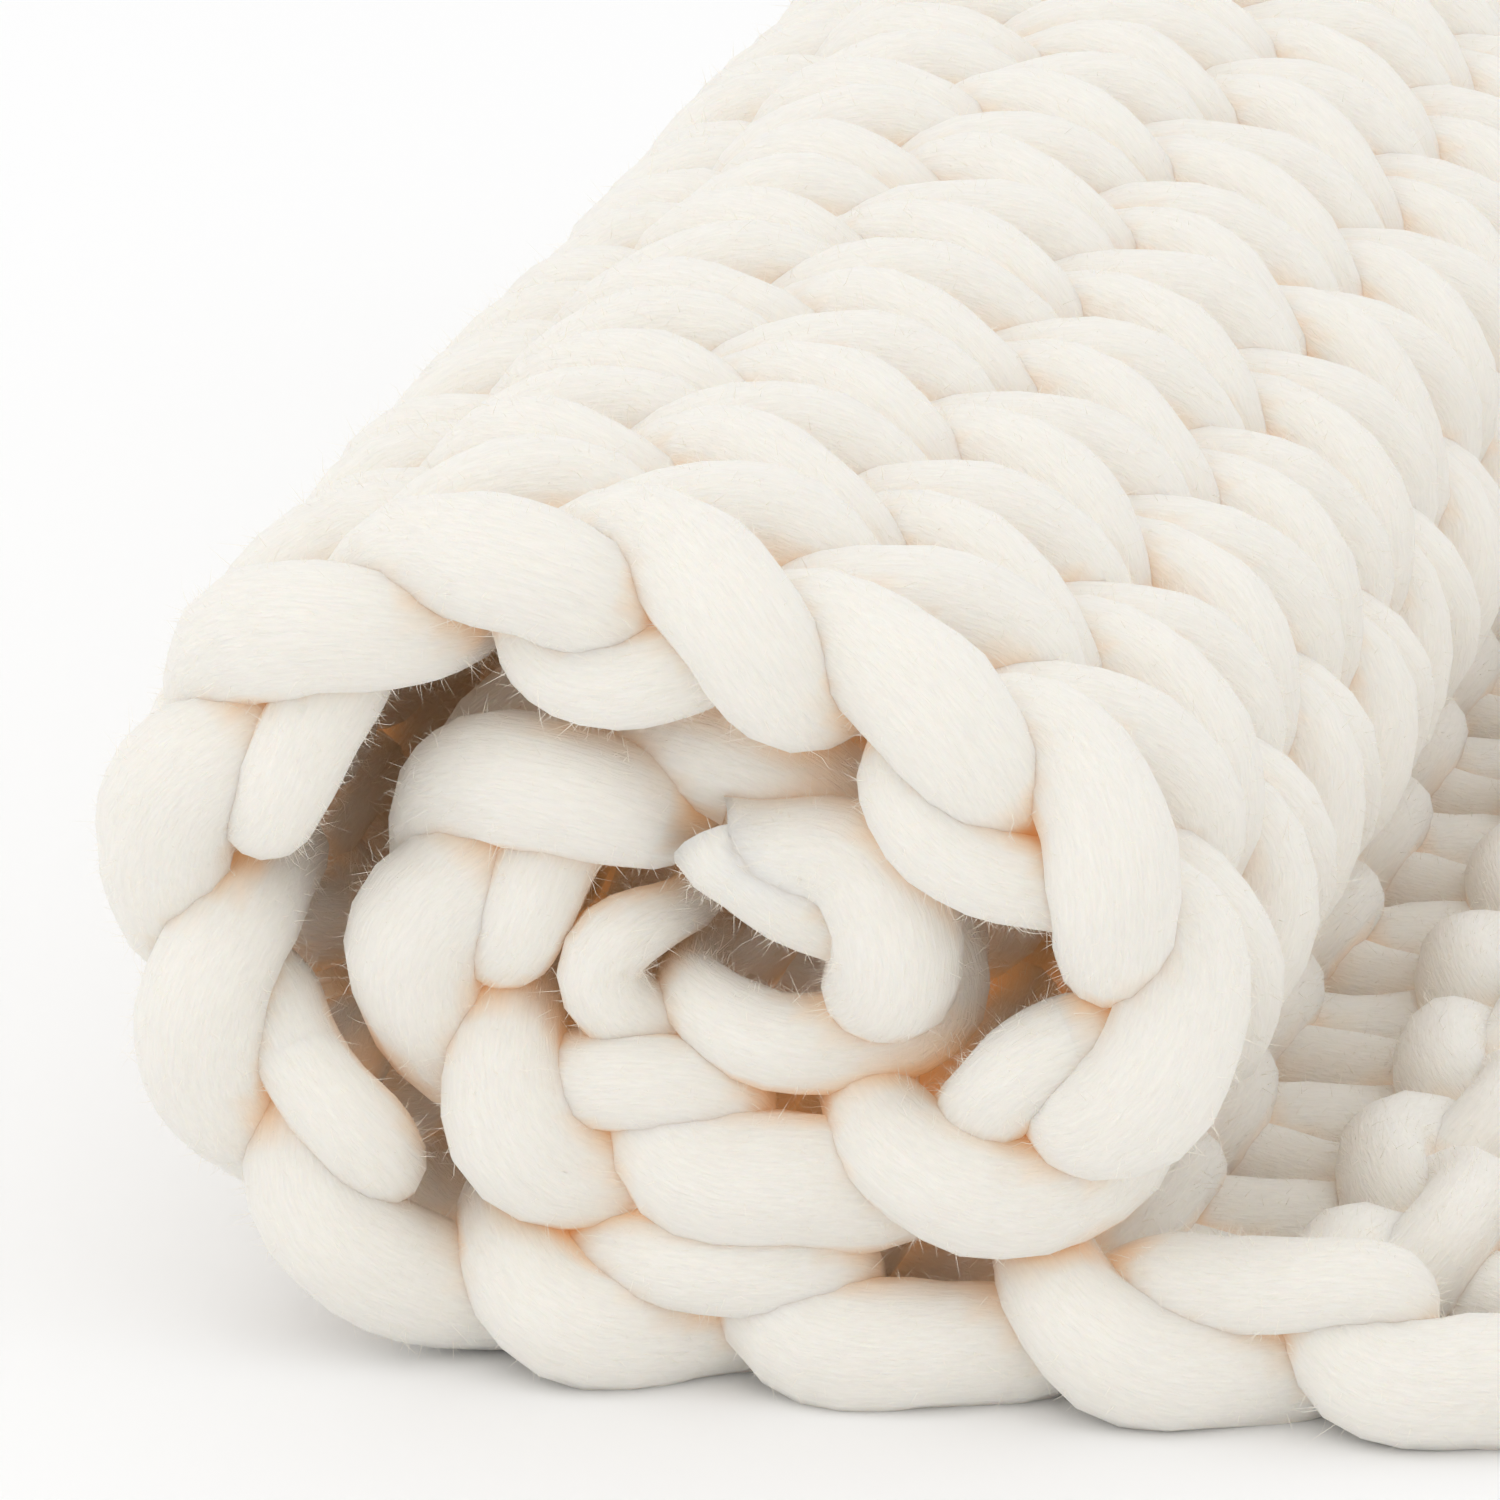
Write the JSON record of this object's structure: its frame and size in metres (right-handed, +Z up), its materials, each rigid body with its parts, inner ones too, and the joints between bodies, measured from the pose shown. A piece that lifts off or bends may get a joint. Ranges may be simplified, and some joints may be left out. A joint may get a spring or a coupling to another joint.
{
  "type": "chunky knit blanket",
  "caption": "Giant-gauge stockinette blanket of thick soft yarn, rolled up from one end, with its loose end flat on the floor.",
  "frame": {"origin": "centre of the bounding box, on the floor", "axes": "+Z up, Y along the roll's axis with the spiral edge that faces the viewer at -Y, +X towards the loose end on the floor"},
  "size_m": [0.4509, 0.954, 0.1892],
  "materials": {
    "yarn": "thick unspun ivory roving, matt, soft and hairy"
  },
  "bodies": {
    "root": {"blanket": "yarn"}
  },
  "joints": []
}
